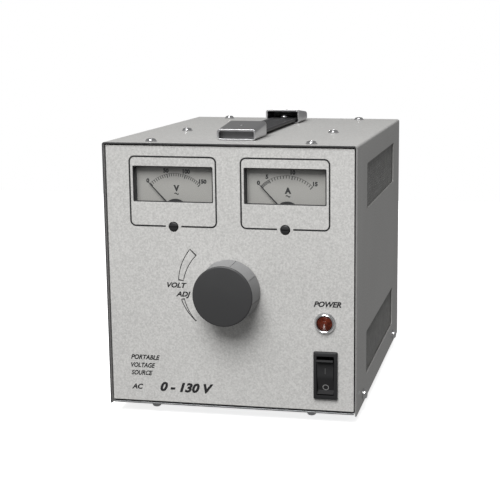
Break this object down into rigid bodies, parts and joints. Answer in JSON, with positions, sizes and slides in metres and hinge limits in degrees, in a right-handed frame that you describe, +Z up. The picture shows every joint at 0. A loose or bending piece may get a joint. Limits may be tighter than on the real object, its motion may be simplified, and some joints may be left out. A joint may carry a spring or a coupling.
{
  "type": "variable autotransformer",
  "caption": "Portable variable autotransformer in a sheet steel case, with a large control knob, two panel meters, a pilot lamp, a rocker switch and a flexible carrying strap.",
  "frame": {"origin": "centre of the object's footprint on the surface its feet stand on", "axes": "X across the front panel, +X on its right as seen from the front; Y from front to back, with the knob toward -Y; Z up"},
  "size_m": [0.2072, 0.2956, 0.2315],
  "materials": {
    "case_paint": "fine textured enamel",
    "zinc_plate": "zinc plated",
    "bright_plate": "bright nickel",
    "black_plastic": "moulded",
    "pointer_paint": "matt black",
    "knob_plastic": "moulded satin",
    "strap_vinyl": "ribbed vinyl",
    "rubber": "matt",
    "steel": "ground",
    "core_steel": "wound strip",
    "enamelled_copper": "enamelled wire",
    "cast_aluminium": "as cast",
    "bronze": "turned",
    "carbon": "pressed carbon",
    "board": "laminate",
    "dial_white": "printed card",
    "button_plastic": "moulded",
    "clear_window": "clear acrylic",
    "lens_amber": "faceted lens"
  },
  "bodies": {
    "case": {"case_cover": "case_paint", "front_panel": "case_paint", "rear_panel": "case_paint", "base_tray": "zinc_plate", "vent_screen_left": "case_paint", "vent_screen_right": "case_paint", "foot_front_left": "rubber", "foot_front_right": "rubber", "foot_rear_left": "rubber", "foot_rear_right": "rubber", "top_screw_front_left": "bright_plate", "top_screw_middle_left": "bright_plate", "top_screw_rear_left": "bright_plate", "top_screw_front_right": "bright_plate", "top_screw_middle_right": "bright_plate", "top_screw_rear_right": "bright_plate", "side_screw_front_left": "bright_plate", "side_screw_rear_left": "bright_plate", "side_screw_front_right": "bright_plate", "side_screw_rear_right": "bright_plate", "handle_cap_front": "bright_plate", "handle_cap_rear": "bright_plate", "strap_front_end": "strap_vinyl", "strap_screw_front": "zinc_plate", "strap_screw_rear": "zinc_plate", "shaft_bush": "bronze", "mounting_plate": "zinc_plate", "transformer_base": "cast_aluminium", "core": "core_steel", "winding": "enamelled_copper", "terminal_board": "board", "volt_meter_case": "black_plastic", "volt_meter_window": "clear_window", "volt_meter_dial": "dial_white", "amp_meter_case": "black_plastic", "amp_meter_window": "clear_window", "amp_meter_dial": "dial_white", "pilot_lamp_bezel": "bright_plate", "pilot_lamp_lens": "lens_amber", "switch_housing": "black_plastic", "mains_inlet": "black_plastic", "output_socket": "black_plastic", "circuit_breaker": "black_plastic", "earth_screw": "bright_plate"},
    "knob_and_shaft": {"knob": "knob_plastic", "shaft": "steel", "brush_arm": "cast_aluminium", "brush_holder": "bronze", "brush_spring": "steel"},
    "brush": {"brush": "carbon"},
    "rocker": {"rocker": "black_plastic"},
    "volt_pointer": {"volt_pointer": "pointer_paint"},
    "amp_pointer": {"amp_pointer": "pointer_paint"},
    "volt_zero_screw": {"volt_zero_screw": "black_plastic"},
    "amp_zero_screw": {"amp_zero_screw": "black_plastic"},
    "reset_button": {"breaker_button": "button_plastic"},
    "strap_rise": {"strap_rise": "strap_vinyl"},
    "strap_middle": {"strap_middle": "strap_vinyl"},
    "strap_fall": {"strap_fall": "strap_vinyl"},
    "strap_rear_end": {"strap_rear_end": "strap_vinyl"}
  },
  "joints": [
    {"name": "knob_turn", "type": "hinge", "parent": "case", "child": "knob_and_shaft", "pos_m": [0, -0.13575, 0.1052], "axis": [0, 1, 0], "range_deg": [0, 318]},
    {"name": "brush_lift", "type": "slide", "parent": "knob_and_shaft", "child": "brush", "axis": [0, 1, 0], "range_m": [0, 0.0015], "stiffness_N_per_m": 400, "springref_m": -0.004},
    {"name": "rocker_tilt", "type": "hinge", "parent": "case", "child": "rocker", "pos_m": [0.0756, -0.12085, 0.0407], "axis": [-1, 0, 0], "range_deg": [0, 16]},
    {"name": "volt_pointer_swing", "type": "hinge", "parent": "case", "child": "volt_pointer", "pos_m": [-0.04425, -0.11905, 0.1655], "axis": [0, 1, 0], "range_deg": [0, 87], "stiffness_Nm_per_rad": 0.0001},
    {"name": "amp_pointer_swing", "type": "hinge", "parent": "case", "child": "amp_pointer", "pos_m": [0.04425, -0.11905, 0.1655], "axis": [0, 1, 0], "range_deg": [0, 87], "stiffness_Nm_per_rad": 0.0001},
    {"name": "volt_zero_turn", "type": "hinge", "parent": "case", "child": "volt_zero_screw", "pos_m": [-0.04425, -0.12475, 0.1539], "axis": [0, 1, 0], "range_deg": [-45, 45]},
    {"name": "amp_zero_turn", "type": "hinge", "parent": "case", "child": "amp_zero_screw", "pos_m": [0.04425, -0.12475, 0.1539], "axis": [0, 1, 0], "range_deg": [-45, 45]},
    {"name": "reset_press", "type": "slide", "parent": "case", "child": "reset_button", "axis": [0, -1, 0], "range_m": [0, 0.003], "stiffness_N_per_m": 500},
    {"name": "strap_rise_hinge", "type": "hinge", "parent": "case", "child": "strap_rise", "pos_m": [0, -0.05775, 0.2223], "axis": [1, 0, 0], "range_deg": [0, 18]},
    {"name": "strap_middle_hinge", "type": "hinge", "parent": "strap_rise", "child": "strap_middle", "pos_m": [0, -0.01975, 0.2223], "axis": [1, 0, 0], "range_deg": [-18, 0]},
    {"name": "strap_fall_hinge", "type": "hinge", "parent": "strap_middle", "child": "strap_fall", "pos_m": [0, 0.03325, 0.2223], "axis": [1, 0, 0], "range_deg": [-18, 0]},
    {"name": "strap_end_hinge", "type": "hinge", "parent": "strap_fall", "child": "strap_rear_end", "pos_m": [0, 0.07125, 0.2223], "axis": [1, 0, 0], "range_deg": [0, 18]}
  ],
  "couplings": [
    {"joint": "strap_middle_hinge", "follows": "strap_rise_hinge", "ratio": -1},
    {"joint": "strap_fall_hinge", "follows": "strap_rise_hinge", "ratio": -1},
    {"joint": "strap_end_hinge", "follows": "strap_rise_hinge", "ratio": 1}
  ]
}
